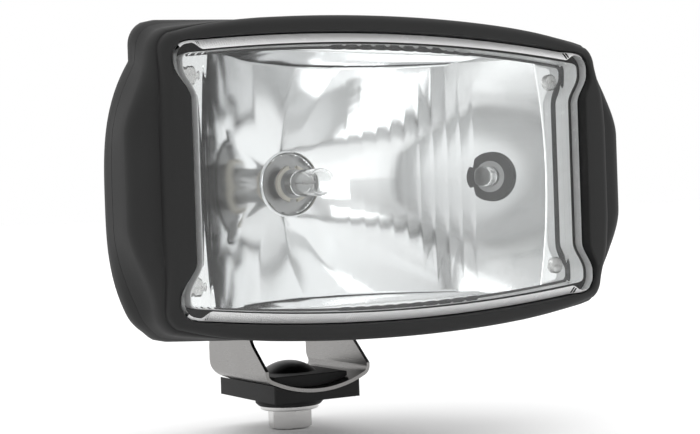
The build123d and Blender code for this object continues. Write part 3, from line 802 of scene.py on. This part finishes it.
print("reflector")
dish = dict(
    columns=150, rows=96, vertex=97.0, rim=17.3, half=78.5, pinch=0.0022, high=48.0, reach=78.8,
    flangeGrow=2.7, wall=1.0, neck=13.0, neckSnap=0.55, neckMargin=0.05, neckSides=96,
    neckCuts=((13.9, 93.6), (13.3, 94.2), (13.0, 95.2), (13.0, 103.0)),  # radius and depth
    rollCuts=((0.0, 1.6), (0.12, 0.75), (0.5, 0.2), (1.3, 0.0)), rollFlat=1.6,  # out and deep
    facets=14, facetRelief=0.42, facetStart=18.0, facetEnd=26.0, facetFade=34.0, facetSide=0.12,
    parkX=67.3, parkRadius=8.6, parkMargin=0.2, parkSlant=1.99,
)


def dishDepth(x, z):
    d = dish
    half = d["half"] - d["pinch"] * z * z
    drop = (d["vertex"] - d["rim"]) * (1 - (x / half) ** 2) * (1 - (z / d["reach"]) ** 2)
    radius = hypot(x, z)
    if radius > d["neck"]:
        turn = atan2(z, x) * d["facets"] / (2 * pi)
        u = turn - floor(turn)
        fold = (1 - (2 * u - 1) ** 2) * ease((radius - d["neck"]) / d["facetStart"])
        fold *= ease((1 - abs(x) / half) / d["facetSide"])
        fold *= ease((d["facetEnd"] - x) / d["facetFade"])
        drop -= d["facetRelief"] * fold
    return d["rim"] + drop


skin = Skin()
d = dish
rows = []
for j in range(d["rows"] + 1):
    z = d["high"] * (2 * j / d["rows"] - 1)
    half = d["half"] - d["pinch"] * z * z
    row = []
    for i in range(d["columns"] + 1):
        x = half * (2 * i / d["columns"] - 1)
        px, pz = x, z
        radius = hypot(x, z)
        if abs(radius - d["neck"]) < d["neckSnap"]:  # pulled onto the neck's edge
            px, pz = x * d["neck"] / radius, z * d["neck"] / radius
        row.append((px, pz, dishDepth(px, pz)))
    rows.append(row)
grid = skin.sheet(rows)


def farFromHoles(face):
    xs = [skin.points[i][0] / mm for i in face]
    zs = [skin.points[i][2] / mm - lamp["middle"] for i in face]
    x, z = sum(xs) / 4, sum(zs) / 4
    if hypot(x, z) < d["neck"] - d["neckMargin"]:
        return False
    return hypot((x - d["parkX"]) * d["parkSlant"], z) > d["parkRadius"] + d["parkMargin"]


skin.faces = [face for face in skin.faces if farFromHoles(face)]
rim = borderOf(grid)
border = around(d["columns"], d["rows"])
loops = []
for out, deep in d["rollCuts"]:
    points = []
    for i, (s, t) in zip(rim, border):
        x = skin.points[i][0] / mm
        z = skin.points[i][2] / mm - lamp["middle"]
        across = x / d["rollFlat"] if abs(t) < 1 else 0.0
        away = Vector((across, z if abs(t) == 1 else 0.0)).normalized()
        points.append((x + away.x * out, z + away.y * out, d["rim"] + deep))
    loops.append(points)
for depth in (d["rim"], d["rim"] + d["wall"]):
    loops.append([(*windowAt(s, t, d["flangeGrow"]), depth) for s, t in border])
made = skin.tube(loops)
skin.bridge(rim, made[0])
skin.tube([circle(0, 0, radius, depth, d["neckSides"]) for radius, depth in d["neckCuts"]])
makePiece("reflectorDish", skin, "mirror_coat", replaced=["reflector"], crease=60)


print("camera, lights and floor")
camera = dict(
    place=(-301.9, -559.3, 83.9), yaw=31.0, pitch=-0.28, roll=-1.95, lens=74.59, sensor=36.0,
    farthest=60.0,
)
yaw, pitch, roll = (radians(camera[key]) for key in ("yaw", "pitch", "roll"))
ahead = Vector((sin(yaw) * cos(pitch), cos(yaw) * cos(pitch), sin(pitch)))
right = Vector((cos(yaw), -sin(yaw), 0))
over = right.cross(ahead)
right, over = cos(roll) * right + sin(roll) * over, cos(roll) * over - sin(roll) * right
eyeData = bpy.data.cameras.new("eye")
eyeData.lens = camera["lens"]
eyeData.sensor_width = camera["sensor"]
eyeData.clip_end = camera["farthest"]
eye = linked("eye", eyeData)
eye.matrix_world = Matrix.LocRotScale(
    Vector(camera["place"]) * mm,
    Matrix((right, over, -ahead)).transposed().to_quaternion(),
    None,
)
bpy.context.scene.camera = eye
bpy.context.scene.view_settings.view_transform = "Standard"

studio = dict(
    floor=30.0, gap=0.0005, paperDull=0.93, paperBright=0.96, paperCloud=6.0, paperRough=0.9,
    sky=1.0, haze=0.93, dim=0.55, patch=1.6, patchFrom=0.40, patchTo=0.60,
    hazeFrom=0.02, hazeTo=0.5, sideFrom=0.30, sideTo=0.52,
)
mesh = bpy.data.meshes.new("floor")
size = studio["floor"]
low = cadBox[0].z - studio["gap"]
mesh.from_pydata(
    [(-size, -size, low), (size, -size, low), (size, size, low), (-size, size, low)],
    [],
    [(0, 1, 2, 3)],
)
ground = linked("floor", mesh)
paper = Finish("paper")
mesh.materials.append(
    paper.coat(
        Base_Color=paper.blend(
            paper.noise(studio["paperCloud"]),
            grey(studio["paperDull"]),
            grey(studio["paperBright"]),
        ),
        Roughness=studio["paperRough"],
    )
)

lights = (
    # name, place, size, power
    ("key", (-1.5, -1.7, 2.0), (2.2, 1.4), 12.0),
    ("side", (2.3, -0.6, 1.1), (1.0, 2.0), 10.0),
    ("front", (-1.2, -2.6, 0.5), (1.2, 0.9), 5.0),
    ("back", (0.6, 2.0, 1.8), (2.2, 1.2), 12.0),
)
aim = Vector((0, -0.03, 0.09))  # about the lamp's middle
for name, place, spread, power in lights:
    data = bpy.data.lights.new(name, "AREA")
    data.shape = "RECTANGLE"
    data.size, data.size_y = spread
    data.energy = power
    light = linked(name, data)
    light.location = place
    light.visible_glossy = False  # no hard-edged picture of the panel in the mirror
    light.rotation_mode = "QUATERNION"
    light.rotation_quaternion = (aim - Vector(place)).to_track_quat("-Z", "Y")

overhead = dict(power=0.6, spread=80)
roof = bpy.data.lights.new("overhead", "SUN")
roof.energy = overhead["power"]
roof.angle = radians(overhead["spread"])
linked("overhead", roof)

world = bpy.data.worlds.new("studio")
bpy.context.scene.world = world
world.use_nodes = True
sky = Finish("studio", world.node_tree)
way = sky.node("TexCoord", out="Generated")
facing = sky.node("SeparateXYZ", {}, {0: way}, out=1)
height = sky.node("SeparateXYZ", {}, {0: way}, out=2)
above = sky.ramp(height, (studio["hazeFrom"], 0.0), (studio["hazeTo"], 1.0))
patches = sky.noise(studio["patch"], 1.0, 0.5, way)
patches = sky.ramp(patches, (studio["patchFrom"], 0.0), (studio["patchTo"], 1.0))
patches = sky.blend(patches, grey(studio["dim"]), grey(studio["sky"]))
patches = sky.blend(above, grey(studio["haze"]), patches)
shade = sky.ramp(facing * 0.5 + 0.5, (studio["sideFrom"], 0.0), (studio["sideTo"], 1.0))
shade = sky.blend(shade, patches, grey(studio["sky"]))
sky.node(
    "OutputWorld",
    {},
    {"Surface": sky.node("Background", {}, {"Color": shade, "Strength": 1.0})},
)
